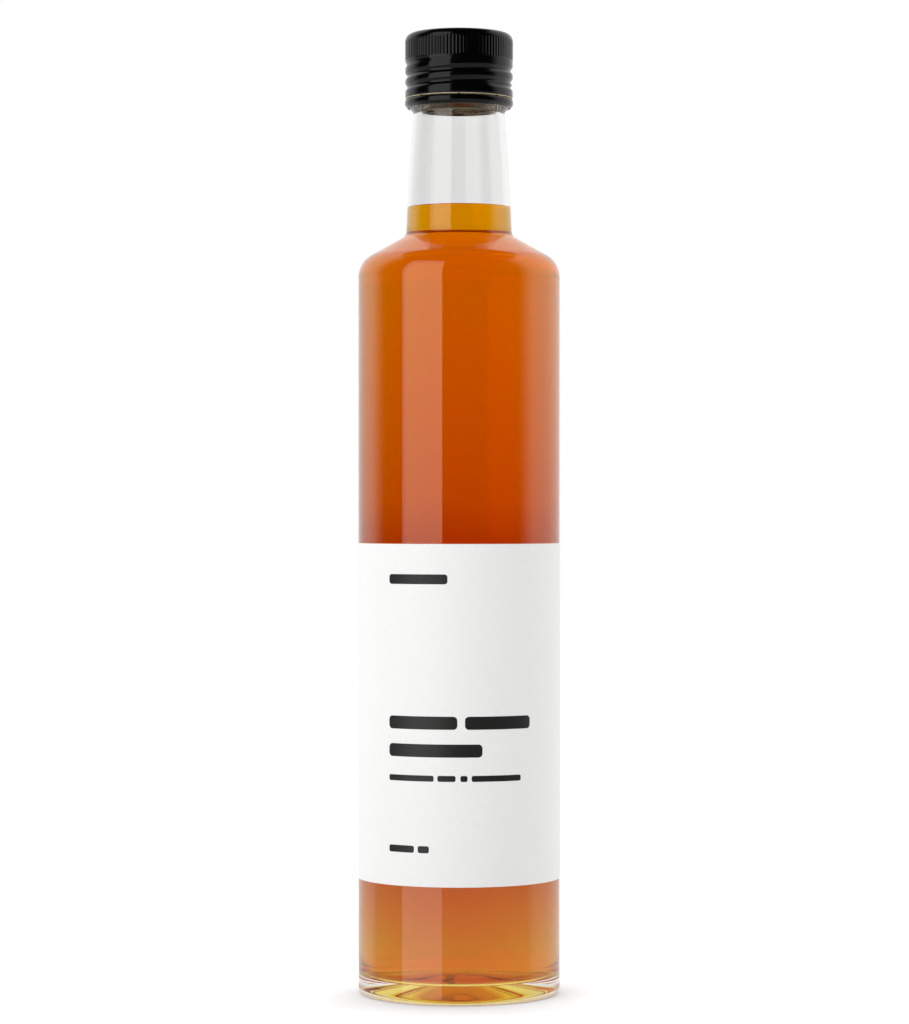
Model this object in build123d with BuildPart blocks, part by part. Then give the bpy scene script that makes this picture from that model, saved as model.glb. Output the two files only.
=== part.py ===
from build123d import *
from math import cos, pi, radians, tan
import os

# A half-litre bottle of vinegar: a clear glass bottle, the vinegar that fills it, a wrap-round
# paper label, and a roll-on screw cap with its tamper band. Millimetres and degrees. The bottle
# stands on Z = 0 with its axis on Z, and the middle of the label faces -Y.

# Outside of the glass
body_radius = 29.45
shoulder_corner = 213.24  # height at which the wall and the shoulder cone would meet
shoulder_angle = 29.4  # rise of the shoulder cone above the horizontal
shoulder_rounding = 7.3
neck_height = 36.0  # from the foot of the neck to the bead
neck_base_rounding = 2.5
neck_waist_rise = 19.0  # from the foot of the neck to its waist
neck_waist_rounding = 500.0
neck_lower_lean = 0.9  # how much the neck narrows up to its waist
neck_upper_lean = 1.25  # how much it narrows from there to the bead
neck_step = 0.9  # how much narrower the top of the neck is than the finish
foot_rounding = 2.0
stand_ring_width = 3.6
hollow_slope = 15.5  # rise of the hollow under the base, from the ring up to its crown
hollow_crown = 8.0  # radius of the domed part in the hollow's middle

# Bead and mouth, both largely inside the closure
bead_stand = 0.35  # how far the bead stands out of the finish
bead_lead = 1.3  # height of the slope under the bead
bead_height = 1.6
bead_rounding = 0.6
mouth_rounding = 0.8

# Inside of the glass
wall = 2.15
neck_wall = 2.5
base_thickness = 5.2  # at the foot of the wall
floor_rise = 2.3  # rise of the floor towards the axis
floor_rounding = 3.6

# Vinegar
fill_rise = 8.3  # from the foot of the neck up to the level

# Label
label_bottom = 33.8
label_height = 97.55
label_thickness = 0.12
label_gap = 5.0  # bare strip between the label's two ends, at the back

# Cap
cap_radius = 15.75
cap_rounding = 2.2
cap_top_thickness = 1.2  # sheet and sealing liner together
cap_clearance = 0.3  # between the finish of the glass and the skirt
skirt_wall = 1.2
skirt_height = 17.85  # from the skirt's edge to the underside of the top
skirt_turn_in = 0.2  # how far the skirt turns in at the slit
skirt_turn_height = 0.55
knurl_pitch = 1.05
knurl_depth = 0.25
knurl_cutter = 0.42
knurl_length = 6.2
knurl_drop = 1.95  # from the top of the cap down to the knurls
thread_pitch = 3.5
thread_depth = 0.7
thread_cutter = 1.15
thread_rise = 3.05  # from the skirt's edge to the start of the groove
thread_drop = 1.2  # from the knurls down to the end of the groove
thread_start_angle = 170.0

# Tamper band
slit = 0.3  # open line between the band and the cap
bridge_count = 8
bridge_width = 0.8
band_stand = 0.08  # how far the band stands out of the cap
band_height = 2.45
band_wall = 0.45
band_turn_in = 0.25  # how far the band turns in at the slit
band_turn_height = 0.5
band_curl = 0.9  # height of the curl at the band's lower edge
band_reach = 1.6  # how far the band reaches under the top of the bead
band_clearance = 0.35  # between the bead and the band's lip

# Radii that follow, from the cap inwards
band_radius = cap_radius + band_stand
skirt_inside = cap_radius - skirt_wall
finish_radius = skirt_inside - cap_clearance
bead_radius = finish_radius + bead_stand
neck_top_radius = finish_radius - neck_step
neck_waist_radius = neck_top_radius + neck_upper_lean
neck_base_radius = neck_waist_radius + neck_lower_lean
mouth_radius = neck_top_radius - neck_wall
ring_edge = body_radius - foot_rounding - stand_ring_width

# Heights that follow, from the shoulder upwards
neck_base = shoulder_corner + (body_radius - neck_base_radius) * tan(radians(shoulder_angle))
neck_waist = neck_base + neck_waist_rise
fill_level = neck_base + fill_rise
bead_bottom = neck_base + neck_height
bead_top = bead_bottom + bead_lead + bead_height
band_bottom = bead_top - band_reach
band_top = band_bottom + band_height
skirt_bottom = band_top + slit
mouth_height = skirt_bottom + skirt_height
cap_top = mouth_height + cap_top_thickness


def half_section(points, radii, dome_rise):
    """Face on the XZ plane between the axis and an outline.

    The outline starts on the axis, runs along a polyline with rounded corners, and ends with
    an arc that rises to the axis, where it is level.
    """
    dome_edge = points[-1]
    dome_crown = (0, dome_edge[1] + dome_rise)
    dome_radius = (dome_edge[0] ** 2 + dome_rise**2) / (2 * dome_rise)
    with BuildSketch(Plane.XZ, mode=Mode.PRIVATE) as section:
        with BuildLine():
            FilletPolyline(*points, radius=radii)
            RadiusArc(dome_edge, dome_crown, -dome_radius)
            Line(dome_crown, points[0])
        make_face()
    return section.sketch


def outside_section():
    """Half section of the glass as if it were solid."""
    corners = [
        ((finish_radius, mouth_height), mouth_rounding),
        ((finish_radius, bead_top + bead_stand), bead_rounding),
        ((bead_radius, bead_top), bead_rounding),
        ((bead_radius, bead_bottom + bead_lead), bead_rounding),
        ((neck_top_radius, bead_bottom), bead_rounding),
        ((neck_waist_radius, neck_waist), neck_waist_rounding),
        ((neck_base_radius, neck_base), neck_base_rounding),
        ((body_radius, shoulder_corner), shoulder_rounding),
        ((body_radius, 0), foot_rounding),
        ((ring_edge, 0), foot_rounding),
    ]
    crown_edge = (hollow_crown, (ring_edge - hollow_crown) * tan(radians(hollow_slope)))
    points = [(0, mouth_height)] + [point for point, _ in corners] + [crown_edge]
    crown_rise = hollow_crown * tan(radians(hollow_slope / 2))
    return half_section(points, [radius for _, radius in corners], crown_rise)


def inside_section():
    """Half section of the bottle's inside, from its floor to its mouth."""
    inside_radius = body_radius - wall
    neck_inside = neck_base_radius - neck_wall
    drop = wall / cos(radians(shoulder_angle))
    rise = tan(radians(shoulder_angle))
    corners = [
        ((mouth_radius, mouth_height), 0),
        ((mouth_radius, bead_bottom), neck_waist_rounding / 4),
        ((neck_waist_radius - neck_wall, neck_waist), neck_waist_rounding),
        ((neck_inside, neck_base + neck_wall * rise - drop), neck_base_rounding + 2 * wall),
        ((inside_radius, shoulder_corner + wall * rise - drop), shoulder_rounding - wall),
        ((inside_radius, base_thickness), floor_rounding),
    ]
    floor_edge = (inside_radius - 1.5 * floor_rounding, base_thickness)
    points = [(0, mouth_height)] + [point for point, _ in corners] + [floor_edge]
    return half_section(points, [radius for _, radius in corners], floor_rise)


# Glass bottle: one blown piece, with a solid base and a finish that the cap hides
with BuildPart() as glass_bottle:
    revolve(outside_section(), axis=Axis.Z)
    revolve(inside_section(), axis=Axis.Z, mode=Mode.SUBTRACT)
    lip = glass_bottle.edges().filter_by(GeomType.CIRCLE).group_by(Axis.Z)[-1]
    fillet(lip.sort_by(SortBy.RADIUS)[0], mouth_rounding)

# Vinegar: everything inside the glass up to the level in the neck
with BuildPart() as vinegar:
    revolve(inside_section(), axis=Axis.Z)
    split(bisect_by=Plane.XY.offset(fill_level), keep=Keep.BOTTOM)

# Label: paper glued on the wall, with its two ends a little apart at the back
with BuildPart() as label:
    with BuildSketch(Plane.XY.offset(label_bottom)):
        Circle(body_radius + label_thickness)
        Circle(body_radius, mode=Mode.SUBTRACT)
        Rectangle(label_gap, 2 * body_radius, align=(Align.CENTER, Align.MIN), mode=Mode.SUBTRACT)
    extrude(amount=label_height)

# Cap: a drawn shell with knurls round its top and a rolled thread in its skirt
with BuildPart() as cap:
    with BuildSketch(Plane.XZ):
        with BuildLine():
            FilletPolyline(
                (0, cap_top),
                (cap_radius, cap_top),
                (cap_radius, skirt_bottom + skirt_turn_height),
                (cap_radius - skirt_turn_in, skirt_bottom),
                (skirt_inside, skirt_bottom),
                (skirt_inside, mouth_height),
                (0, mouth_height),
                radius=[cap_rounding, skirt_turn_height / 2, 0, 0, cap_clearance],
            )
            Line((0, mouth_height), (0, cap_top))
        make_face()
    revolve(axis=Axis.Z)
    knurl_bottom = cap_top - knurl_drop - knurl_length
    with BuildSketch(Plane.XY.offset(knurl_bottom)):
        knurl_count = round(2 * pi * cap_radius / knurl_pitch)
        with PolarLocations(cap_radius + knurl_cutter - knurl_depth, knurl_count):
            Circle(knurl_cutter)
    extrude(amount=knurl_length, mode=Mode.SUBTRACT)
    thread_bottom = skirt_bottom + thread_rise
    thread_height = knurl_bottom - thread_drop - thread_bottom
    thread_foot = Plane.XY.offset(thread_bottom).rotated((0, 0, thread_start_angle))
    with BuildLine(thread_foot) as thread_path:
        Helix(thread_pitch, thread_height, cap_radius + thread_cutter - thread_depth)
    with BuildSketch(Plane(thread_path.line @ 0, z_dir=thread_path.line % 0)):
        Circle(thread_cutter)
    sweep(path=thread_path.line, is_frenet=True, mode=Mode.SUBTRACT)

# Tamper band: hooked under the bead, with small bridges up to the cap's skirt
with BuildPart() as tamper_band:
    band_edge = band_radius - band_turn_in
    band_lip = bead_radius + band_clearance
    with BuildSketch(Plane.XZ):
        with BuildLine():
            FilletPolyline(
                (band_edge, band_top),
                (band_radius, band_top - band_turn_height),
                (band_radius, band_bottom + band_curl),
                (band_lip + band_wall / 2, band_bottom),
                (band_lip, band_bottom),
                (band_edge - band_wall, band_bottom + band_curl),
                (band_edge - band_wall, band_top),
                close=True,
                radius=[0, band_wall, 1.5 * band_wall, band_wall / 4, 0, 0, 0],
            )
        make_face()
    revolve(axis=Axis.Z)
    with BuildSketch(Plane.XY.offset(band_top)):
        with PolarLocations(band_edge - band_wall / 2, bridge_count):
            Rectangle(band_wall / 2, bridge_width)
    extrude(amount=slit)

os.makedirs("parts", exist_ok=True)
glass_bottle.part.label = "glass_bottle"
vinegar.part.label = "vinegar"
label.part.label = "label"
cap.part.label = "cap"
tamper_band.part.label = "tamper_band"
export_step(glass_bottle.part, "parts/glass_bottle.step")
export_step(vinegar.part, "parts/vinegar.step")
export_step(label.part, "parts/label.step")
export_step(cap.part, "parts/cap.step")
export_step(tamper_band.part, "parts/tamper_band.step")
print(f"vinegar {vinegar.part.volume / 1000:.1f} ml, glass {glass_bottle.part.volume / 1000:.1f} ml")
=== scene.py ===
"""Looks of a half-litre bottle of vinegar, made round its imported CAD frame.

The bottle stands on Z = 0 with its axis on Z, and the middle of its label faces -Y. Outlines are
drawn in millimetres, as (radius, height), and every mesh is in metres, in the frame of the CAD.
"""
import logging
from dataclasses import dataclass
from enum import Enum
from math import asin, atan2, ceil, cos, degrees, exp, hypot, pi, radians, sin, sqrt, tan
from typing import Any, Callable, Iterable, Optional, Sequence, Union

import bpy
from mathutils import Matrix, Vector


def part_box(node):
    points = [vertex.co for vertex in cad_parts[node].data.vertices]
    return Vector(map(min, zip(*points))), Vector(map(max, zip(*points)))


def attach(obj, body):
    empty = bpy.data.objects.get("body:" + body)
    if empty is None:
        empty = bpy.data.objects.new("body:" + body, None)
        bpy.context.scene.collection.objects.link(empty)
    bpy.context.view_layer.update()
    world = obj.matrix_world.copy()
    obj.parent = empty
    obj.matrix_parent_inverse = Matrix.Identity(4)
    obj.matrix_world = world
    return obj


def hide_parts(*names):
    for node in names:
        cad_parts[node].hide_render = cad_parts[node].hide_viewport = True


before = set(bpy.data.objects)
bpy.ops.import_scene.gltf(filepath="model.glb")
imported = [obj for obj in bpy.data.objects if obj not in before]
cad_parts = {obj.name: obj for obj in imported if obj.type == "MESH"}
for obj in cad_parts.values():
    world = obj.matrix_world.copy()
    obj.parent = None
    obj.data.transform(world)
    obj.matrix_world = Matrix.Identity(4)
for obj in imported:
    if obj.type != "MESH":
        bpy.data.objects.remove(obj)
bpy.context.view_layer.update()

MM = 0.001
BODY = "root"
TURN_STEPS = 192  # facets round the glass, the vinegar and the label
HOLD = 0.4  # mm from a corner to the edge loop that holds its shading
STRAIGHT = 1e-4  # radians of turn under which a corner counts as straight
DOUBLE = 1e-6  # metres under which two vertices are one
WALL_REACH = 0.05  # mm that the vinegar reaches into the glass
WHITE = (1.0, 1.0, 1.0, 1.0)

Tree = bpy.types.NodeTree
Socket = bpy.types.NodeSocket
Sockets = bpy.types.bpy_prop_collection
Value = Union[Socket, float]
Span = tuple[float, float]

log = logging.getLogger("vinegar_bottle")


# ---- outlines


@dataclass(frozen=True)
class Corner:
    """A corner of an outline, in mm: its radius, its height, and how much it is rounded."""

    radius: float
    height: float
    rounding: float = 0.0

    def place(self) -> Vector:
        """The corner as a point on the XZ plane."""
        return Vector((self.radius, 0.0, self.height))


def rounded_arc(before: Vector, corner: Corner, after: Vector, step: float) -> list[Vector]:
    """Points of the arc that rounds one corner.

    Args:
        before: A point on the run that comes to the corner.
        corner: The corner.
        after: A point on the run that leaves it.
        step: The most degrees that the arc turns from one point to the next.

    Returns:
        The arc's points in mm, or the corner alone where it is sharp.
    """
    here = corner.place()
    back = (before - here).normalized()
    ahead = (after - here).normalized()
    turn = pi - back.angle(ahead)
    if corner.rounding == 0 or turn < STRAIGHT:
        return [here]
    reach = corner.rounding * tan(turn / 2)
    centre = here + (back + ahead).normalized() * hypot(reach, corner.rounding)
    first = here + back * reach - centre
    last = here + ahead * reach - centre
    count = max(2, ceil(degrees(turn) / step))
    shares = [index / count for index in range(count + 1)]
    return [centre + (first * sin((1 - t) * turn) + last * sin(t * turn)) / sin(turn) for t in shares]


def held_run(start: Vector, end: Vector, longest: float) -> list[Vector]:
    """Points between the ends of a straight run, with one close to each end.

    Args:
        start: The run's first point, in mm.
        end: Its last point, in mm.
        longest: The longest face along the run, in mm.

    Returns:
        The points between the two ends, without the ends.
    """
    length = (end - start).length
    if length < 4 * HOLD:
        return []
    count = max(1, ceil((length - 2 * HOLD) / longest))
    stations = [HOLD + (length - 2 * HOLD) * index / count for index in range(count + 1)]
    return [start + (end - start) * (station / length) for station in stations]


def draw_outline(corners: Sequence[Corner], step: float = 7.5, longest: float = 12.0) -> list[Vector]:
    """Draw an outline through corners, with its roundings and its holding points.

    Args:
        corners: The corners in order. The first and the last are its ends.
        step: The most degrees that an arc turns from one point to the next.
        longest: The longest face along a straight run, in mm.

    Returns:
        The outline's points in mm.
    """
    points = [corners[0].place()]
    for before, corner, after in zip(corners, corners[1:], corners[2:]):
        arc = rounded_arc(before.place(), corner, after.place(), step)
        points += held_run(points[-1], arc[0], longest) + arc
    end = corners[-1].place()
    return points + held_run(points[-1], end, longest) + [end]


def draw_dome(edge: Corner, rise: float, count: int = 12) -> list[Vector]:
    """Draw an arc that rises from an edge to the axis, where it is level.

    Args:
        edge: The place where the dome starts.
        rise: How far it rises, in mm.
        count: How many faces it has.

    Returns:
        The points after the edge, in mm.
    """
    dome_radius = (edge.radius**2 + rise**2) / (2 * rise)
    radii = [edge.radius * (1 - index / count) for index in range(1, count + 1)]
    drop = dome_radius - rise
    return [Vector((r, 0.0, edge.height + sqrt(dome_radius**2 - r**2) - drop)) for r in radii]


# ---- modelling


def deselect() -> None:
    """Deselect every object, the frame's nodes included."""
    bpy.ops.object.select_all(action="DESELECT")


def select(*pieces: bpy.types.Object) -> None:
    """Select pieces alone, with the first of them active."""
    deselect()
    for piece in pieces:
        piece.select_set(True)
    bpy.context.view_layer.objects.active = pieces[0]


def start_vertex(name: str, place: Vector) -> bpy.types.Object:
    """Start a piece as one vertex, and leave it in edit mode.

    Args:
        name: The piece's name.
        place: Where the vertex is, in mm.

    Returns:
        The new object.
    """
    deselect()
    bpy.ops.mesh.primitive_plane_add(size=MM, location=place * MM)
    piece = bpy.context.object
    piece.name = name
    piece.data.name = name
    bpy.ops.object.mode_set(mode="EDIT")
    bpy.ops.mesh.select_all(action="SELECT")
    bpy.ops.mesh.merge(type="CENTER")
    return piece


def extrude_along(points: Sequence[Vector]) -> None:
    """Extrude the selected vertex from the first point to the last, in mm."""
    for here, there in zip(points, points[1:]):
        bpy.ops.mesh.extrude_region_move(TRANSFORM_OT_translate={"value": (there - here) * MM})


def place_in_mesh(piece: bpy.types.Object) -> None:
    """Put a piece's place, turn and scale into its mesh."""
    select(piece)
    bpy.ops.object.transform_apply(location=True, rotation=True, scale=True)


def turn_outline(
    name: str, points: Sequence[Vector], steps: int = TURN_STEPS, angle: float = 2 * pi
) -> bpy.types.Object:
    """Turn an outline round the axis, as on a lathe.

    Args:
        name: The piece's name.
        points: The outline in mm. Where it doesn't end on the axis, its ends meet.
        steps: How many facets go round.
        angle: How far it turns, in radians.

    Returns:
        The piece, which is closed after a whole turn.
    """
    piece = start_vertex(name, points[0])
    extrude_along(points)
    bpy.ops.mesh.select_all(action="SELECT")
    bpy.ops.mesh.spin(steps=steps, angle=angle, center=(0, 0, 0), axis=(0, 0, 1))
    bpy.ops.mesh.select_all(action="SELECT")
    bpy.ops.mesh.remove_doubles(threshold=DOUBLE)
    bpy.ops.mesh.normals_make_consistent(inside=False)
    bpy.ops.object.mode_set(mode="OBJECT")
    place_in_mesh(piece)
    return piece


def face_outwards(piece: bpy.types.Object) -> None:
    """Turn an open sheet's faces away from the axis, if they point towards it."""
    face = piece.data.polygons[0]
    if face.normal.dot(face.center) < 0:
        bpy.context.view_layer.objects.active = piece
        bpy.ops.object.mode_set(mode="EDIT")
        bpy.ops.mesh.select_all(action="SELECT")
        bpy.ops.mesh.flip_normals()
        bpy.ops.object.mode_set(mode="OBJECT")


def smooth(piece: bpy.types.Object, angle: float = 40.0) -> None:
    """Shade a piece smooth, with its edges past an angle sharp.

    Args:
        piece: The piece.
        angle: The angle in degrees.
    """
    select(piece)
    bpy.ops.object.shade_smooth_by_angle(angle=radians(angle))


def thicken(piece: bpy.types.Object, thickness: float) -> None:
    """Give an open sheet a thickness on its outer side.

    Args:
        piece: The sheet.
        thickness: The thickness in mm.
    """
    modifier = piece.modifiers.new("Solidify", "SOLIDIFY")
    modifier.thickness = thickness * MM
    modifier.offset = 1.0
    bpy.context.view_layer.objects.active = piece
    bpy.ops.object.modifier_apply(modifier=modifier.name)


def join(pieces: Sequence[bpy.types.Object]) -> bpy.types.Object:
    """Join pieces into the first of them, and give that one back."""
    select(*pieces)
    bpy.ops.object.join()
    return pieces[0]


def use_second_finish(
    piece: bpy.types.Object, belongs: Callable[[bpy.types.MeshPolygon], bool]
) -> None:
    """Give a piece's second material to some of its faces.

    Args:
        piece: The piece, with two materials.
        belongs: Says of a face whether it takes the second one.
    """
    for face in piece.data.polygons:
        if belongs(face):
            face.material_index = 1


def faces_axis(face: bpy.types.MeshPolygon) -> bool:
    """Whether a face looks towards the axis by more than a little."""
    outward = Vector((face.center.x, face.center.y, 0.0)).normalized()
    return face.normal.dot(outward) < -0.2


# ---- materials


def linear(code: str) -> tuple[float, float, float, float]:
    """Turn an sRGB hex code into a linear colour.

    Args:
        code: Six hex digits after a hash.

    Returns:
        Red, green, blue and an alpha of one.
    """
    shares = [int(code[place : place + 2], 16) / 255 for place in (1, 3, 5)]
    red, green, blue = [s / 12.92 if s <= 0.04045 else ((s + 0.055) / 1.055) ** 2.4 for s in shares]
    return (red, green, blue, 1.0)


def add_node(
    tree: Tree, kind: str, inputs: Optional[dict[Any, Any]] = None, **settings: Any
) -> bpy.types.Node:
    """Add a node to a tree, with its settings and its links.

    Args:
        tree: The tree.
        kind: The node's type.
        inputs: For a socket's name or number, its value or the output that feeds it.
        settings: The node's own settings.

    Returns:
        The new node.
    """
    node = tree.nodes.new(kind)
    for name, value in settings.items():
        setattr(node, name, value)
    for key, value in (inputs or {}).items():
        if isinstance(value, bpy.types.NodeSocket):
            tree.links.new(value, node.inputs[key])
        else:
            node.inputs[key].default_value = value
    return node


def compute(tree: Tree, operation: str, first: Value, second: Value) -> Socket:
    """Add a Math node for two values and give its result."""
    node = add_node(tree, "ShaderNodeMath", {0: first, 1: second}, operation=operation)
    return node.outputs["Value"]


def dot(tree: Tree, first: Socket, second: Any) -> Socket:
    """Add a node for the dot product of two vectors and give its result."""
    node = add_node(tree, "ShaderNodeVectorMath", {0: first, 1: second}, operation="DOT_PRODUCT")
    return node.outputs["Value"]


def mix(tree: Tree, share: Socket, first: Value, second: Value) -> Socket:
    """Add a Mix node, which goes from the first value to the second as the share goes from 0 to 1."""
    node = add_node(tree, "ShaderNodeMix", {"Factor": share, "A": first, "B": second})
    return node.outputs["Result"]


def map_range(
    tree: Tree, value: Socket, source: tuple[float, float], target: Span = (0.0, 1.0), soft: bool = False
) -> Socket:
    """Add a Map Range node.

    Args:
        tree: The tree.
        value: The value to map.
        source: The two values of the input that are mapped to the target's ends.
        target: The result's two ends.
        soft: Whether it eases in and out.

    Returns:
        The mapped value.
    """
    ends = zip(("From Min", "From Max", "To Min", "To Max"), source + target)
    inputs = {"Value": value, **dict(ends)}
    kind = "SMOOTHSTEP" if soft else "LINEAR"
    return add_node(tree, "ShaderNodeMapRange", inputs, interpolation_type=kind).outputs["Result"]


def noise(tree: Tree, place: Socket, size: float, detail: float) -> Socket:
    """Add a noise pattern.

    Args:
        tree: The tree.
        place: The coordinates that it lies on, in metres.
        size: The size of its features, in mm.
        detail: How many layers of finer noise it has.

    Returns:
        The pattern, from 0 to 1.
    """
    inputs = {"Vector": place, "Scale": 1.0 / (size * MM), "Detail": detail}
    return add_node(tree, "ShaderNodeTexNoise", inputs).outputs["Fac"]


def relief(tree: Tree, pattern: Socket, height: float, strength: float = 1.0) -> Socket:
    """Add a bump node.

    Args:
        tree: The tree.
        pattern: The pattern that stands out.
        height: How far it does, in mm.
        strength: How strongly it shows.

    Returns:
        The bumped normal.
    """
    inputs = {"Height": pattern, "Strength": strength, "Distance": height * MM}
    return add_node(tree, "ShaderNodeBump", inputs).outputs["Normal"]


def tone(tree: Tree, pattern: Socket, stops: Sequence[tuple[float, str]]) -> Socket:
    """Add a colour ramp.

    Args:
        tree: The tree.
        pattern: The value that runs along the ramp.
        stops: Each stop's position and hex colour, in order.

    Returns:
        The colour.
    """
    ramp = add_node(tree, "ShaderNodeValToRGB", {"Fac": pattern})
    elements = ramp.color_ramp.elements
    while len(elements) < len(stops):
        elements.new(1.0)
    for element, (position, code) in zip(elements, stops):
        element.position = position
        element.color = linear(code)
    return ramp.outputs["Color"]


def new_material(name: str) -> tuple[bpy.types.Material, Tree, Sockets]:
    """Start a material with a tree that holds its coordinates.

    Args:
        name: The material's name.

    Returns:
        The material, its tree, and the outputs of the coordinates.
    """
    material = bpy.data.materials.new(name)
    material.use_nodes = True
    tree = material.node_tree
    tree.nodes.clear()
    return material, tree, add_node(tree, "ShaderNodeTexCoord").outputs


def coat(tree: Tree, inputs: dict[str, Any], volume: Optional[Socket] = None) -> None:
    """End a material's tree with a Principled surface.

    Args:
        tree: The tree.
        inputs: The surface's inputs.
        volume: What fills the inside, if anything does.
    """
    surface = add_node(tree, "ShaderNodeBsdfPrincipled", inputs)
    ends = {"Surface": surface.outputs["BSDF"]}
    if volume is not None:
        ends["Volume"] = volume
    add_node(tree, "ShaderNodeOutputMaterial", ends)


@dataclass(frozen=True)
class FlintGlass:
    """Clear flint glass, blown in a mould and fire polished, which rolls its shine a little."""

    colour: str = "#F5F5F4"
    dry_shine: str = "#FFFFFF"
    # Painted amber tint on the reflections of the glass under the vinegar.
    wet_painted_amber_reflection: str = "#FFFF8C"
    ior: float = 1.52
    roll_width: float = 14.0  # mm between the soft rolls of the surface
    roll_height: float = 0.004

    def material(self, wet: bool = False) -> bpy.types.Material:
        """Build the material.

        Args:
            wet: Whether the surface has vinegar behind it, which gives its reflections a painted amber
                tint.

        Returns:
            The material.
        """
        material, tree, place = new_material("flint_glass_wet" if wet else "flint_glass_fire_polished")
        roll = noise(tree, place["Object"], self.roll_width, 1.0)
        coat(
            tree,
            {
                "Base Color": linear(self.colour),
                "Roughness": 0.0,
                "IOR": self.ior,
                # Under the vinegar the reflections take the painted amber tint.
                "Specular Tint": linear(self.wet_painted_amber_reflection if wet else self.dry_shine),
                "Transmission Weight": 1.0,
                "Normal": relief(tree, roll, self.roll_height),
            },
        )
        return material


@dataclass(frozen=True)
class CloudyVinegar:
    """Unfiltered apple vinegar: an amber liquid with a fine haze that settles towards the foot.

    Its colour is mostly a tint on its surface that changes with the height in mm. Towards the foot it is
    paler, partly for the settled haze and partly as painted light from the floor. Just above the label it
    is darker, as painted shade where the label keeps the light out, and that shade fades towards the
    shoulder.
    """

    ior: float = 1.34
    # Painted amber tint on the vinegar's reflections.
    shine: str = "#FFFFB0"
    soaked_colour: tuple[float, float, float, float] = (1.0, 0.72, 0.0, 1.0)
    density: float = 100.0  # per metre
    # Paler towards the foot: partly the settled haze, partly painted light from the floor under the
    # bottle.
    foot_haze_and_floor_light_tint: tuple[float, str] = (8.0, "#F2D85A")
    haze_and_floor_light_tints: tuple[tuple[float, str], ...] = ((12.5, "#D6E408"), (21.0, "#D5C808"), (33.0, "#C79D08"))
    # Painted shade just above the label, where the label keeps the light out of the vinegar.
    label_painted_shade_tint: tuple[float, str] = (132.0, "#C67B03")
    # The painted shade fades out over these heights towards the shoulder, leaving the vinegar's own
    # amber.
    fading_painted_shade_tints: tuple[tuple[float, str], ...] = (
        (144.0, "#DAA004"),
        (166.0, "#E3B404"),
        (189.0, "#E8C304"),
        (203.0, "#E8CE04"),
    )
    wisp: float = 16.0  # mm across the soft wisps of haze
    wisp_lift: float = 6.0  # mm by which a wisp shifts the tint

    def material(self) -> bpy.types.Material:
        """Build the material."""
        material, tree, place = new_material("apple_vinegar_unfiltered")
        height = add_node(tree, "ShaderNodeSeparateXYZ", {"Vector": place["Object"]}).outputs["Z"]
        wisps = noise(tree, place["Object"], self.wisp, 3.0)
        most = self.wisp_lift * MM / 2
        lifted = compute(tree, "ADD", height, map_range(tree, wisps, (0.0, 1.0), (-most, most)))
        # The tints by height: haze with painted floor light at the foot, then painted shade above the
        # label that fades upwards.
        tints = (self.foot_haze_and_floor_light_tint, *self.haze_and_floor_light_tints, self.label_painted_shade_tint, *self.fading_painted_shade_tints)
        highest = tints[-1][0]
        rise = map_range(tree, lifted, (0.0, highest * MM))
        soak = add_node(
            tree, "ShaderNodeVolumeAbsorption", {"Color": self.soaked_colour, "Density": self.density}
        )
        coat(
            tree,
            {
                "Base Color": tone(tree, rise, [(stop / highest, code) for stop, code in tints]),
                "Roughness": 0.0,
                "IOR": self.ior,
                # The vinegar's reflections take the painted amber tint.
                "Specular Tint": linear(self.shine),
                "Transmission Weight": 1.0,
            },
            soak.outputs["Volume"],
        )
        return material


@dataclass(frozen=True)
class LabelPaper:
    """Coated label paper, calendered to a satin, with a faint fibre that keeps it from looking plastic.

    Daylight soaks through the thin sheet; its glued side shows that as a painted glow behind the glass.
    """

    colour: str = "#F7F7F6"
    fibre_colour: str = "#F4F4F2"
    ior: float = 1.45
    roughness: float = 0.5
    fibre: float = 0.6  # mm, drawn coarser than real fibre so that it shows
    fibre_height: float = 0.003
    fibre_strength: float = 0.6
    glow: float = 0.8  # strength of the painted glow on the glued side, where open daylight is 1

    def material(self) -> bpy.types.Material:
        """Build the material."""
        material, tree, place = new_material("label_paper_satin_coated")
        fibre = noise(tree, place["Object"], self.fibre, 4.0)
        colour = tone(tree, fibre, ((0.35, self.fibre_colour), (0.6, self.colour)))
        # Painted glow on the glued side, in place of the light that soaks through the paper.
        glued = compute(tree, "LESS_THAN", dot(tree, place["Normal"], place["Object"]), 0.0)
        coat(
            tree,
            {
                "Base Color": colour,
                "Roughness": self.roughness,
                "IOR": self.ior,
                "Normal": relief(tree, fibre, self.fibre_height, self.fibre_strength),
                "Emission Color": colour,
                "Emission Strength": compute(tree, "MULTIPLY", glued, self.glow),
            },
        )
        return material


@dataclass(frozen=True)
class PrintedInk:
    """Offset black ink, which sinks a little unevenly into the coat."""

    dark: str = "#141412"
    thin: str = "#1E1D1B"
    ior: float = 1.5
    roughness: float = 0.42
    grain: float = 0.35  # mm between thin and full spots

    def material(self) -> bpy.types.Material:
        """Build the material."""
        material, tree, place = new_material("offset_black_ink")
        grain = noise(tree, place["Object"], self.grain, 2.0)
        colour = tone(tree, grain, ((0.4, self.dark), (0.7, self.thin)))
        coat(tree, {"Base Color": colour, "Roughness": self.roughness, "IOR": self.ior})
        return material


@dataclass(frozen=True)
class BlackLacquer:
    """Gloss black lacquer, roller-coated on aluminium before it was drawn, with a fine orange peel."""

    colour: str = "#040404"
    ior: float = 1.39
    smoothest: float = 0.102  # roughness in the peel's dimples
    roughest: float = 0.15  # and on its tops
    peel: float = 0.7  # mm between the peel's dimples
    peel_height: float = 0.001

    def material(self) -> bpy.types.Material:
        """Build the material."""
        material, tree, place = new_material("gloss_black_lacquer")
        peel = noise(tree, place["Object"], self.peel, 2.0)
        coat(
            tree,
            {
                "Base Color": linear(self.colour),
                "Roughness": map_range(tree, peel, (0.3, 0.7), (self.smoothest, self.roughest)),
                "IOR": self.ior,
                "Normal": relief(tree, peel, self.peel_height),
            },
        )
        return material


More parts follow.
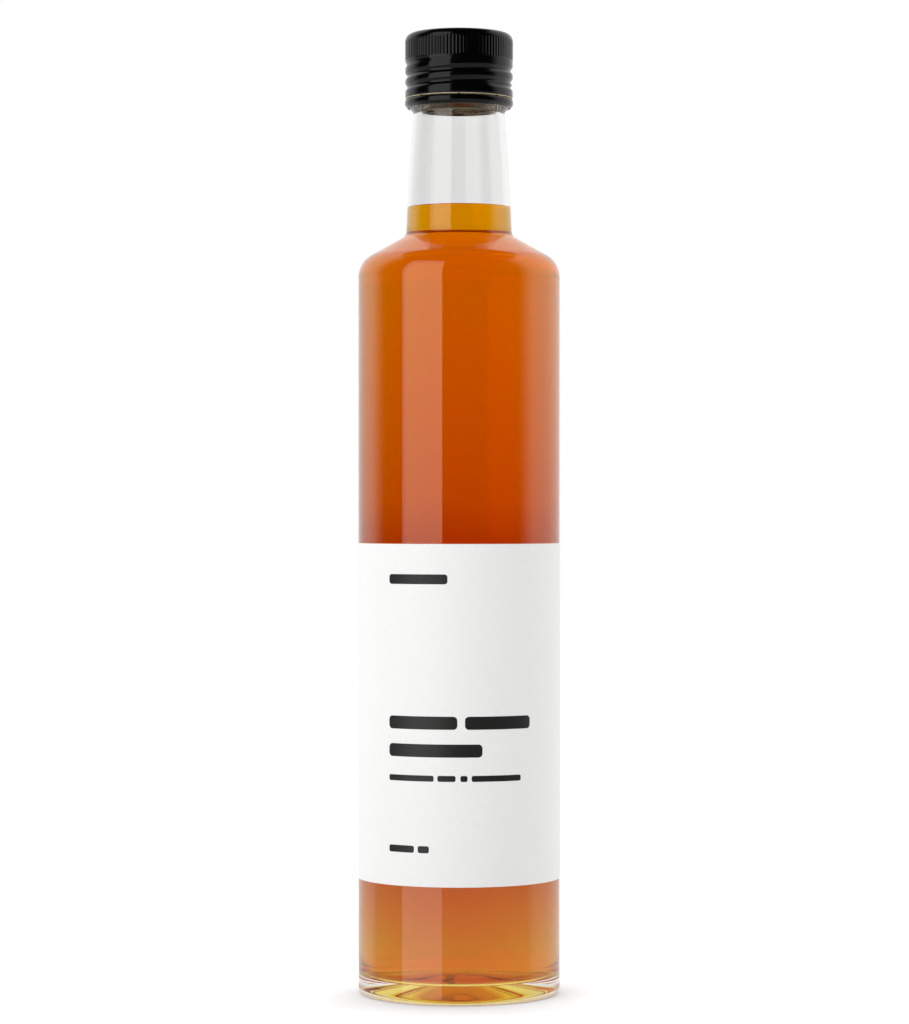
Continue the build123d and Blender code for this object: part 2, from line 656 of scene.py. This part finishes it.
@dataclass(frozen=True)
class GoldLacquer:
    """Gold-tinted lacquer on the bare side of the drawn aluminium, with faint drawing lines."""

    colour: str = "#EDDFBC"
    deep: str = "#CDB98C"
    metallic: float = 0.3
    roughness: float = 0.45
    line: float = 0.5  # mm between drawing lines
    line_squeeze: float = 0.1  # how much the lines' pattern is squeezed along the axis

    def material(self) -> bpy.types.Material:
        """Build the material."""
        material, tree, place = new_material("gold_lacquer_on_aluminium")
        squeezed = {"Vector": place["Object"], "Scale": (1.0, 1.0, self.line_squeeze)}
        along = add_node(tree, "ShaderNodeMapping", squeezed).outputs["Vector"]
        lines = noise(tree, along, self.line, 2.0)
        colour = tone(tree, lines, ((0.35, self.deep), (0.65, self.colour)))
        coat(tree, {"Base Color": colour, "Metallic": self.metallic, "Roughness": self.roughness})
        return material


class Slot(Enum):
    """The record's material slots."""

    GLASS = "bottle_glass"
    VINEGAR = "vinegar"
    PAPER = "label_paper"
    CAP = "cap_lacquer"


def declare(piece: bpy.types.Object, nodes: Iterable[str] = ()) -> None:
    """Tell the frame what a finished piece is.

    Args:
        piece: The piece.
        nodes: The CAD nodes that it stands for.
    """
    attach(piece, BODY)
    for node in nodes:
        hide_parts(node)
    log.info("%s: %d faces", piece.name, len(piece.data.polygons))


# ---- the bottle


@dataclass
class GlassBottle:
    """The clear glass bottle: a straight body, a sloped shoulder, and a neck with a bead."""

    body_radius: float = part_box("glass_bottle")[1][0] / MM
    mouth_height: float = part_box("glass_bottle")[1][2] / MM
    bead_lead: float = 1.3
    bead_height: float = 1.6
    band_reach: float = 1.6  # how far the tamper band reaches under the top of the bead
    bead_bottom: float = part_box("tamper_band")[0][2] / MM + band_reach - bead_height - bead_lead
    level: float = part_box("vinegar")[1][2] / MM
    shoulder_corner: float = 213.24
    shoulder_slope: float = tan(radians(29.4))
    shoulder_rounding: float = 7.3
    neck_height: float = 36.0
    neck_waist_rise: float = 19.0
    neck_waist_rounding: float = 500.0
    neck_base_rounding: float = 2.5
    neck_base_radius: float = 15.5
    neck_waist_radius: float = 14.6
    neck_top_radius: float = 13.35
    finish_radius: float = 14.25
    bead_radius: float = 14.6
    bead_rounding: float = 0.6
    mouth_rounding: float = 0.8
    foot_rounding: float = 2.0
    stand_ring_width: float = 3.6
    hollow_slope: float = tan(radians(15.5))
    hollow_crown: float = 8.0
    wall: float = 2.15
    neck_wall: float = 2.5
    base_thickness: float = 5.2
    floor_rise: float = 2.3
    floor_rounding: float = 3.6
    finish: FlintGlass = FlintGlass()

    @property
    def body_middle(self) -> float:
        """Height of the middle of the straight body."""
        return self.shoulder_corner / 2

    @property
    def neck_base(self) -> float:
        """Height of the foot of the neck."""
        return self.bead_bottom - self.neck_height

    @property
    def neck_waist(self) -> float:
        """Height at which the neck starts to narrow faster."""
        return self.neck_base + self.neck_waist_rise

    def outside(self) -> list[Corner]:
        """Corners of the outside, from the mouth down to the foot and up into the hollow under it."""
        bead_top = self.bead_bottom + self.bead_lead + self.bead_height
        bead_step = self.bead_radius - self.finish_radius
        ring_edge = self.body_radius - self.foot_rounding - self.stand_ring_width
        return [
            Corner(self.finish_radius, self.mouth_height, self.mouth_rounding),
            Corner(self.finish_radius, bead_top + bead_step, self.bead_rounding),
            Corner(self.bead_radius, bead_top, self.bead_rounding),
            Corner(self.bead_radius, self.bead_bottom + self.bead_lead, self.bead_rounding),
            Corner(self.neck_top_radius, self.bead_bottom, self.bead_rounding),
            Corner(self.neck_waist_radius, self.neck_waist, self.neck_waist_rounding),
            Corner(self.neck_base_radius, self.neck_base, self.neck_base_rounding),
            Corner(self.body_radius, self.shoulder_corner, self.shoulder_rounding),
            Corner(self.body_radius, 0.0, self.foot_rounding),
            Corner(ring_edge, 0.0, self.foot_rounding),
            Corner(self.hollow_crown, (ring_edge - self.hollow_crown) * self.hollow_slope),
        ]

    def inside(self, reach: float = 0.0) -> list[Corner]:
        """Corners of the inside, from the mouth down to the edge of its floor.

        Args:
            reach: How far beyond the inner surface the corners lie in the glass, in mm.

        Returns:
            The corners.
        """
        wall = self.wall - reach
        neck_wall = self.neck_wall - reach
        floor = self.base_thickness - reach
        radius = self.body_radius - wall
        drop = wall * hypot(1.0, self.shoulder_slope)
        neck_radius = self.neck_base_radius - neck_wall
        neck_foot = self.neck_base + neck_wall * self.shoulder_slope - drop
        shoulder = self.shoulder_corner + wall * self.shoulder_slope - drop
        mouth_radius = self.neck_top_radius - neck_wall
        return [
            Corner(mouth_radius, self.mouth_height, self.mouth_rounding),
            Corner(mouth_radius, self.bead_bottom, self.neck_waist_rounding / 4),
            Corner(self.neck_waist_radius - neck_wall, self.neck_waist, self.neck_waist_rounding),
            Corner(neck_radius, neck_foot, self.neck_base_rounding + 2 * wall),
            Corner(radius, shoulder, self.shoulder_rounding - wall),
            Corner(radius, floor, self.floor_rounding),
            Corner(radius - 1.5 * self.floor_rounding, floor),
        ]

    def outline(self) -> list[Vector]:
        """The closed outline of the glass, from the inner floor up, over the lip and down to the foot."""
        inside = self.inside()
        outside = self.outside()
        up = draw_dome(inside[-1], self.floor_rise)[::-1]
        wall = draw_outline(inside[::-1] + outside)
        return up + wall + draw_dome(outside[-1], self.hollow_crown * self.hollow_slope / 2)

    def is_wet(self, face: bpy.types.MeshPolygon) -> bool:
        """Whether a face of the glass is inside the bottle and under the vinegar's level."""
        middle = Vector((0.0, 0.0, self.body_middle * MM))
        under = face.center.z < self.level * MM
        return under and face.normal.dot(middle - face.center) > 0

    def build(self) -> bpy.types.Object:
        """Build and dress the glass."""
        piece = turn_outline("bottle_glass_shell", self.outline())
        smooth(piece)
        piece.data.materials.append(self.finish.material())
        piece.data.materials.append(self.finish.material(wet=True))
        use_second_finish(piece, self.is_wet)
        declare(piece, ["glass_bottle"])
        return piece


@dataclass
class Vinegar:
    """The vinegar: all of the inside up to its level, with the curve that wetting gives it."""

    bottle: GlassBottle
    meniscus_rise: float = 0.15
    meniscus_width: float = 0.2
    meniscus_faces: int = 8
    finish: CloudyVinegar = CloudyVinegar()

    def surface(self, wall_radius: float) -> list[Vector]:
        """The top surface from the axis out to the wall.

        Args:
            wall_radius: The radius at which the surface ends, in mm.

        Returns:
            The points in mm.
        """
        start = wall_radius - 4 * self.meniscus_width
        points = [Vector((start * share, 0.0, self.bottle.level)) for share in (0.0, 0.5, 0.9)]
        for index in range(self.meniscus_faces + 1):
            radius = start + (wall_radius - start) * sin(pi / 2 * index / self.meniscus_faces)
            lift = self.meniscus_rise * exp((radius - wall_radius) / self.meniscus_width)
            points.append(Vector((radius, 0.0, self.bottle.level + lift)))
        return points

    def build(self) -> bpy.types.Object:
        """Build and dress the vinegar."""
        inside = self.bottle.inside(WALL_REACH)
        waist, neck = inside[2], inside[3]
        top = self.bottle.level + self.meniscus_rise
        share = (waist.height - top) / (waist.height - neck.height)
        wall_radius = waist.radius + (neck.radius - waist.radius) * share
        wall = draw_outline([Corner(wall_radius, top)] + inside[3:])
        floor = draw_dome(inside[-1], self.bottle.floor_rise)
        piece = turn_outline("vinegar_fill", self.surface(wall_radius) + wall[1:] + floor)
        smooth(piece)
        piece.data.materials.append(self.finish.material())
        declare(piece, ["vinegar"])
        return piece


@dataclass(frozen=True)
class PrintBar:
    """A bar of print in place of one word: its ends along the paper and its two heights, in mm."""

    start: float
    end: float
    bottom: float
    top: float


@dataclass
class PaperLabel:
    """The white paper label, wrapped round the glass, with plain bars in place of its words."""

    bottle: GlassBottle
    bottom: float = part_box("label")[0][2] / MM
    top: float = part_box("label")[1][2] / MM
    thickness: float = 0.12
    gap: float = 5.0  # between the two ends, at the back
    seat: float = 0.03  # how far the paper's back lies in the glass
    ink_thickness: float = 0.02
    bar_facet: float = 0.8
    bar_rounding: float = 0.3  # share of a bar's height
    left_margin: float = -21.8
    finish: LabelPaper = LabelPaper()
    ink: PrintedInk = PrintedInk()

    def bars(self) -> list[PrintBar]:
        """The bars of print: a mark, a title of three words, a line of four, and a quantity."""
        left = self.left_margin
        return [
            PrintBar(left, -3.3, 119.9, 122.7),
            PrintBar(left, -0.5, 78.6, 82.3),
            PrintBar(1.7, 22.2, 78.6, 82.3),
            PrintBar(left, 6.7, 70.7, 74.4),
            PrintBar(left, -7.3, 63.8, 65.5),
            PrintBar(-6.2, -1.0, 63.8, 65.5),
            PrintBar(0.4, 2.4, 63.8, 65.5),
            PrintBar(3.6, 18.8, 63.8, 65.5),
            PrintBar(left, -13.3, 43.4, 45.4),
            PrintBar(-12.1, -8.7, 43.4, 45.4),
        ]

    def paper(self) -> bpy.types.Object:
        """Wrap the paper: one upright edge spun most of the way round, then given its thickness."""
        back_radius = self.bottle.body_radius - self.seat
        half_gap = asin(self.gap / 2 / self.bottle.body_radius)
        first = pi / 2 + half_gap
        foot = Vector((back_radius * cos(first), back_radius * sin(first), self.bottom))
        rise = Vector((0.0, 0.0, self.top - self.bottom))
        levels = [foot + rise * share for share in (0.0, 0.25, 0.5, 0.75, 1.0)]
        piece = turn_outline("label_paper_wrap", levels, angle=2 * pi - 2 * half_gap)
        face_outwards(piece)
        thicken(piece, self.thickness + self.seat)
        smooth(piece)
        return piece

    def print_bar(self, bar: PrintBar) -> bpy.types.Object:
        """Make one bar: a flat strip with round corners, cut into facets and laid on the paper.

        Args:
            bar: The bar's size and place.

        Returns:
            The bar as a thin closed piece.
        """
        radius = self.bottle.body_radius + self.thickness - self.ink_thickness
        width = bar.end - bar.start
        height = bar.top - bar.bottom
        deselect()
        bpy.ops.mesh.primitive_plane_add(
            size=1.0,
            location=((bar.start + bar.end) / 2 * MM, -radius * MM, (bar.bottom + bar.top) / 2 * MM),
            rotation=(pi / 2, 0.0, 0.0),
        )
        piece = bpy.context.object
        piece.scale = (width * MM, height * MM, 1.0)
        place_in_mesh(piece)
        bpy.ops.object.mode_set(mode="EDIT")
        bpy.ops.mesh.select_all(action="SELECT")
        bpy.ops.mesh.bevel(offset=height * self.bar_rounding * MM, segments=5, affect="VERTICES")
        for index in range(1, ceil(width / self.bar_facet)):
            bpy.ops.mesh.select_all(action="SELECT")
            cut = Vector(((bar.start + index * self.bar_facet) * MM, 0.0, 0.0))
            bpy.ops.mesh.bisect(plane_co=cut, plane_no=(1.0, 0.0, 0.0))
        bpy.ops.object.mode_set(mode="OBJECT")
        for vertex in piece.data.vertices:
            around = vertex.co.x / (radius * MM)
            vertex.co.x = radius * MM * sin(around)
            vertex.co.y = -radius * MM * cos(around)
        face_outwards(piece)
        thicken(piece, 2 * self.ink_thickness)
        smooth(piece)
        return piece

    def build(self) -> list[bpy.types.Object]:
        """Build and dress the paper and its print."""
        paper = self.paper()
        paper.data.materials.append(self.finish.material())
        declare(paper, ["label"])
        ink = join([self.print_bar(bar) for bar in self.bars()])
        ink.name = "label_print"
        ink.data.name = "label_print"
        ink.data.materials.append(self.ink.material())
        declare(ink)
        return [paper, ink]


# ---- the closure


def ease(share: float) -> float:
    """A smooth step from 0 to 1 as the share goes from 0 to 1."""
    held = min(1.0, max(0.0, share))
    return held * held * (3.0 - 2.0 * held)


@dataclass
class ScrewCap:
    """The roll-on cap: a drawn shell with knurls round its top and a thread rolled into its skirt."""

    radius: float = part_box("cap")[1][0] / MM
    top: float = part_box("cap")[1][2] / MM
    bottom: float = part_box("cap")[0][2] / MM
    inside_radius: float = 14.6
    rounding: float = 2.2
    top_thickness: float = 1.2
    turn_in: float = 0.2
    turn_height: float = 0.55
    sheet: float = 0.25
    knurl_count: int = 94
    facets_per_knurl: int = 6
    knurl_depth: float = 0.12
    knurl_cutter: float = 0.42
    knurl_foot: float = 272.05
    knurl_length: float = 6.2
    knurl_fade: float = 0.5
    row_height: float = 0.24
    thread_pitch: float = 3.4
    thread_depth: float = 0.6
    thread_half_width: float = 1.25
    thread_rise: float = 3.25
    thread_start: float = 295.0  # degrees round from +X
    thread_turns: float = 3.05
    level_turns: float = 0.68  # turns before the groove starts to climb
    climb_in: float = 0.14  # turns over which it does so
    lead_in: float = 0.06  # turns
    lead_out: float = 0.6
    cut_edge: float = 0.15  # height of the bare cut edge at the slit
    edge_rounding: float = 0.06
    liner_rounding: float = 0.3
    pressed_skin: float = 0.01  # how deep under the cap's radius vertices are still pressed
    finish: BlackLacquer = BlackLacquer()
    inner_finish: GoldLacquer = GoldLacquer()

    def outline(self) -> list[Vector]:
        """The closed outline, from the top's middle down the skirt and back up inside it."""
        crown = draw_outline(
            [
                Corner(0.0, self.top),
                Corner(self.radius, self.top, self.rounding),
                Corner(self.radius, self.top - self.rounding - HOLD),
            ],
            longest=5.0,
        )
        edge = self.bottom + self.turn_height + 2 * HOLD
        rows = ceil((crown[-1].z - edge) / self.row_height)
        drop = (crown[-1].z - edge) / rows
        skirt = [Vector((self.radius, 0.0, crown[-1].z - drop * index)) for index in range(1, rows)]
        rim_radius = self.radius - self.turn_in
        rim = draw_outline(
            [
                Corner(self.radius, edge),
                Corner(self.radius, self.bottom + self.turn_height, self.turn_height / 2),
                Corner(rim_radius, self.bottom + self.cut_edge),
                Corner(rim_radius, self.bottom, self.edge_rounding),
                Corner(rim_radius - self.sheet, self.bottom, self.edge_rounding),
                Corner(rim_radius - self.sheet, self.bottom + self.turn_height),
                Corner(self.inside_radius, self.bottom + 2 * self.turn_height),
                Corner(self.inside_radius, self.top - self.top_thickness, self.liner_rounding),
                Corner(0.0, self.top - self.top_thickness),
            ],
            longest=6.0,
        )
        return crown + skirt + rim

    def is_bare(self, face: bpy.types.MeshPolygon) -> bool:
        """Whether a face of the turned cap is inside it, or is part of its cut edge."""
        inside = faces_axis(face) or face.normal.z < -0.9
        return inside or face.center.z < (self.bottom + self.cut_edge) * MM

    def knurl(self, angle: float, height: float) -> float:
        """Depth of the knurls.

        Args:
            angle: Angle round the axis, in radians.
            height: Height in mm.

        Returns:
            How far below the plain cylinder the surface lies, in mm.
        """
        ends = ease((self.knurl_foot + self.knurl_length - height) / self.knurl_fade)
        ends *= ease((height - self.knurl_foot) / self.knurl_fade)
        pitch = 2 * pi * self.radius / self.knurl_count
        phase = (angle * self.knurl_count / (2 * pi)) % 1.0
        aside = abs(phase - 0.5) * pitch
        if aside >= self.knurl_cutter or ends <= 0:
            return 0.0
        cut = sqrt(self.knurl_cutter**2 - aside**2) - (self.knurl_cutter - self.knurl_depth)
        return ends * max(0.0, cut)

    def groove(self, turns: float) -> tuple[float, float]:
        """Course of the rolled thread, which is level at first and then climbs.

        Args:
            turns: Turns from the thread's start.

        Returns:
            The height and the depth of the groove's middle, in mm.
        """
        climbed = min(max(0.0, turns - self.level_turns), self.climb_in)
        beyond = max(0.0, turns - self.level_turns - self.climb_in)
        climb = self.thread_pitch * (climbed**2 / (2 * self.climb_in) + beyond)
        ends = ease(turns / self.lead_in) * ease((self.thread_turns - turns) / self.lead_out)
        return self.bottom + self.thread_rise + climb, self.thread_depth * ends

    def thread(self, angle: float, height: float) -> float:
        """Depth of the rolled thread.

        Args:
            angle: Angle round the axis, in radians.
            height: Height in mm.

        Returns:
            How far below the plain cylinder the surface lies, in mm.
        """
        part = ((angle - radians(self.thread_start)) / (2 * pi)) % 1.0
        deepest = 0.0
        for whole in range(ceil(self.thread_turns)):
            middle, depth = self.groove(part + whole)
            aside = abs(height - middle) / self.thread_half_width
            if aside < 1:
                deepest = max(deepest, depth * (0.5 + 0.5 * cos(pi * aside)))
        return deepest

    def press(self, piece: bpy.types.Object) -> None:
        """Press the knurls and the thread into the turned cap's skirt."""
        for vertex in piece.data.vertices:
            around = hypot(vertex.co.x, vertex.co.y) / MM
            if around < self.radius - self.pressed_skin:
                continue
            angle = atan2(vertex.co.y, vertex.co.x)
            height = vertex.co.z / MM
            depth = max(self.knurl(angle, height), self.thread(angle, height))
            share = 1.0 - depth / around
            vertex.co.x *= share
            vertex.co.y *= share

    def build(self) -> bpy.types.Object:
        """Build and dress the cap."""
        steps = self.knurl_count * self.facets_per_knurl
        piece = turn_outline("cap_shell", self.outline(), steps)
        piece.data.materials.append(self.finish.material())
        piece.data.materials.append(self.inner_finish.material())
        use_second_finish(piece, self.is_bare)
        self.press(piece)
        smooth(piece, 50.0)
        declare(piece, ["cap"])
        return piece


@dataclass
class TamperBand:
    """The tamper band: a ring hooked under the glass bead, held to the cap by small bridges."""

    cap: ScrewCap
    radius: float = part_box("tamper_band")[1][0] / MM
    bottom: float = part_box("tamper_band")[0][2] / MM
    slit: float = 0.3
    wall: float = 0.45
    turn_in: float = 0.25
    turn_height: float = 0.5
    curl: float = 0.9
    lip_radius: float = 14.95
    bridge_count: int = 8
    bridge_width: float = 0.8
    bridge_bite: float = 0.05  # how far a bridge reaches into the band and into the cap
    edge_rounding: float = 0.08
    bridge_rounding: float = 0.04

    @property
    def top(self) -> float:
        """Height of the band's upper edge."""
        return self.cap.bottom - self.slit

    def ring(self) -> bpy.types.Object:
        """Turn the ring with its curl."""
        edge = self.radius - self.turn_in
        corners = [
            Corner(edge - self.wall, self.top),
            Corner(edge, self.top, self.edge_rounding),
            Corner(self.radius, self.top - self.turn_height, self.wall),
            Corner(self.radius, self.bottom + self.curl, 1.5 * self.wall),
            Corner(self.lip_radius + self.wall / 2, self.bottom, self.wall / 4),
            Corner(self.lip_radius, self.bottom),
            Corner(edge - self.wall, self.bottom + self.curl),
            Corner(edge - self.wall, self.top),
        ]
        return turn_outline("tamper_band_ring", draw_outline(corners, longest=0.6), TURN_STEPS * 2)

    def bridge(self, angle: float) -> bpy.types.Object:
        """Make one bridge of sheet across the slit.

        Args:
            angle: Where it is round the axis, in radians.

        Returns:
            The bridge.
        """
        radius = self.radius - self.turn_in - self.wall / 4
        deselect()
        bpy.ops.mesh.primitive_cube_add(
            size=1.0,
            location=(radius * MM, 0.0, (self.top + self.slit / 2) * MM),
            scale=Vector((self.wall / 2, self.bridge_width, self.slit + 2 * self.bridge_bite)) * MM,
        )
        piece = bpy.context.object
        place_in_mesh(piece)
        bpy.ops.object.mode_set(mode="EDIT")
        bpy.ops.mesh.select_all(action="SELECT")
        bpy.ops.mesh.bevel(offset=self.bridge_rounding * MM, segments=2)
        bpy.ops.object.mode_set(mode="OBJECT")
        piece.data.transform(Matrix.Rotation(angle, 4, "Z"))
        return piece

    def build(self) -> bpy.types.Object:
        """Build and dress the band."""
        ring = self.ring()
        angles = [2 * pi * index / self.bridge_count for index in range(self.bridge_count)]
        piece = join([ring] + [self.bridge(angle) for angle in angles])
        smooth(piece)
        piece.data.materials.clear()
        piece.data.materials.append(self.cap.finish.material())
        piece.data.materials.append(self.cap.inner_finish.material())
        use_second_finish(piece, faces_axis)
        declare(piece, ["tamper_band"])
        return piece


# ---- the studio


@dataclass
class Studio:
    """A pale floor in a white room that is dark in front, one soft box on the left, and the camera."""

    camera_distance: float = 0.9984
    camera_height: float = 0.1417
    lens: float = 120.0
    sensor: float = 36.0
    shift: Span = (-0.00444, -0.00433)
    bounces: int = 24
    front_light: float = 0.53  # how brightly the room lights matt things from the front
    back_light: float = 1.5
    floor_size: float = 8.0
    floor_colour: str = "#F2F2F2"
    floor_shown: float = 1.18  # how much brighter than that the camera sees it
    floor_glow: float = 0.14  # light of its own that the camera sees on top
    box_azimuth: float = -43.0  # degrees from the camera's side, to its left
    box_distance: float = 0.9
    box_width: float = 0.8
    box_height: float = 1.5
    box_sink: float = 0.25  # how far it reaches below the floor
    box_level: float = 1.35
    dark_turn: float = -11.5  # degrees by which the dark front is turned to the left
    dark_edge: float = 81.5  # degrees from the middle of the dark front to its edge
    white_edge: float = 110.0
    ceiling: Span = (0.76, 0.82)  # upward part of a direction over which the white backdrop ends
    horizon: Span = (-0.02, -0.12)  # and the downward part over which the floor in front starts
    near_floor: float = 0.5  # how bright shiny things see the floor in front
    side_seen_through: float = 0.8  # how bright the room's sides are, seen through the glass
    side_edge: float = 130.0  # degrees from the front to where they start to brighten
    back_edge: float = 178.0

    def world(self) -> None:
        """Light the room evenly, show it white, and give shiny things a dark front to reflect."""
        world = bpy.data.worlds.new("studio_room")
        bpy.context.scene.world = world
        world.use_nodes = True
        tree = world.node_tree
        tree.nodes.clear()
        path = add_node(tree, "ShaderNodeLightPath").outputs
        way = add_node(tree, "ShaderNodeTexCoord").outputs["Generated"]
        rise = add_node(tree, "ShaderNodeSeparateXYZ", {"Vector": way}).outputs["Z"]
        turned = radians(self.dark_turn)
        front = dot(tree, way, (sin(turned), -cos(turned), 0.0))
        dark_to_white = (cos(radians(self.dark_edge)), cos(radians(self.white_edge)))
        behind = map_range(tree, front, dark_to_white, soft=True)
        wall = map_range(tree, rise, self.ceiling, (1.0, 0.0), soft=True)
        ground = map_range(tree, rise, self.horizon, (0.0, self.near_floor), soft=True)
        mirrored = compute(tree, "MAXIMUM", compute(tree, "MULTIPLY", behind, wall), ground)
        matt = mix(tree, behind, self.front_light, self.back_light)
        side_to_back = (cos(radians(self.side_edge)), cos(radians(self.back_edge)))
        through = map_range(tree, front, side_to_back, (self.side_seen_through, 1.0), soft=True)
        dimmed = compute(tree, "MULTIPLY", mirrored, through)
        shown = compute(tree, "MAXIMUM", path["Is Camera Ray"], path["Is Transmission Ray"])
        seen = compute(tree, "MAXIMUM", path["Is Camera Ray"], dimmed)
        unseen = mix(tree, path["Is Glossy Ray"], matt, mirrored)
        level = mix(tree, shown, unseen, seen)
        light = add_node(tree, "ShaderNodeBackground", {"Color": WHITE, "Strength": level})
        add_node(tree, "ShaderNodeOutputWorld", {"Surface": light.outputs["Background"]})

    def floor(self) -> None:
        """Lay the floor, whose glow shows it white and leaves the shadow at the foot.

        What is seen through the glass sees it plain white.
        """
        deselect()
        bpy.ops.mesh.primitive_plane_add(size=self.floor_size)
        floor = bpy.context.object
        floor.name = "studio_floor"
        material, tree, _ = new_material("pale_studio_floor")
        path = add_node(tree, "ShaderNodeLightPath").outputs
        gain = map_range(tree, path["Is Camera Ray"], (0.0, 1.0), (1.0, self.floor_shown))
        colour = {0: linear(self.floor_colour)[:3], "Scale": gain}
        shade = add_node(tree, "ShaderNodeVectorMath", colour, operation="SCALE")
        strength = compute(tree, "MULTIPLY", path["Is Camera Ray"], self.floor_glow)
        matt = add_node(tree, "ShaderNodeBsdfDiffuse", {"Color": shade.outputs["Vector"]})
        glow = add_node(tree, "ShaderNodeEmission", {"Strength": strength})
        direct = add_node(
            tree, "ShaderNodeAddShader", {0: matt.outputs["BSDF"], 1: glow.outputs["Emission"]}
        )
        white = add_node(tree, "ShaderNodeEmission", {"Strength": 1.0})
        choice = {
            0: path["Is Transmission Ray"],
            1: direct.outputs["Shader"],
            2: white.outputs["Emission"],
        }
        both = add_node(tree, "ShaderNodeMixShader", choice)
        add_node(tree, "ShaderNodeOutputMaterial", {"Surface": both.outputs["Shader"]})
        floor.data.materials.append(material)
        floor.visible_glossy = False

    def soft_box(self) -> None:
        """Stand the soft box in front of the bottle, to its left."""
        turned = radians(self.box_azimuth)
        place = Vector((sin(turned), -cos(turned), 0.0)) * self.box_distance
        place.z = self.box_height / 2 - self.box_sink
        bpy.ops.object.light_add(type="AREA", location=place)
        lamp = bpy.context.object
        lamp.name = "soft_box"
        lamp.rotation_euler = (pi / 2, 0.0, turned)
        lamp.data.shape = "RECTANGLE"
        lamp.data.size = self.box_width
        lamp.data.size_y = self.box_height
        lamp.data.energy = self.box_level * pi * self.box_width * self.box_height
        lamp.visible_camera = False

    def camera(self) -> None:
        """Set up the camera, level with the lower half of the bottle."""
        place = (0.0, -self.camera_distance, self.camera_height)
        bpy.ops.object.camera_add(location=place, rotation=(pi / 2, 0.0, 0.0))
        camera = bpy.context.object
        camera.name = "studio_camera"
        camera.data.lens = self.lens
        camera.data.sensor_width = self.sensor
        camera.data.shift_x, camera.data.shift_y = self.shift
        bpy.context.scene.camera = camera

    def build(self) -> None:
        """Build the room, the lamp and the camera, and set the view."""
        self.world()
        self.floor()
        self.soft_box()
        self.camera()
        scene = bpy.context.scene
        scene.view_settings.view_transform = "Standard"
        scene.cycles.max_bounces = self.bounces
        scene.cycles.transmission_bounces = self.bounces
        scene.cycles.glossy_bounces = self.bounces


def main() -> None:
    """Build the bottle, its contents, its label and its closure, then the studio."""
    logging.basicConfig(level=logging.INFO, format="%(name)s: %(message)s")
    bottle = GlassBottle()
    bottle.build()
    Vinegar(bottle).build()
    PaperLabel(bottle).build()
    cap = ScrewCap()
    cap.build()
    TamperBand(cap).build()
    Studio().build()


if __name__ == "__main__":
    main()
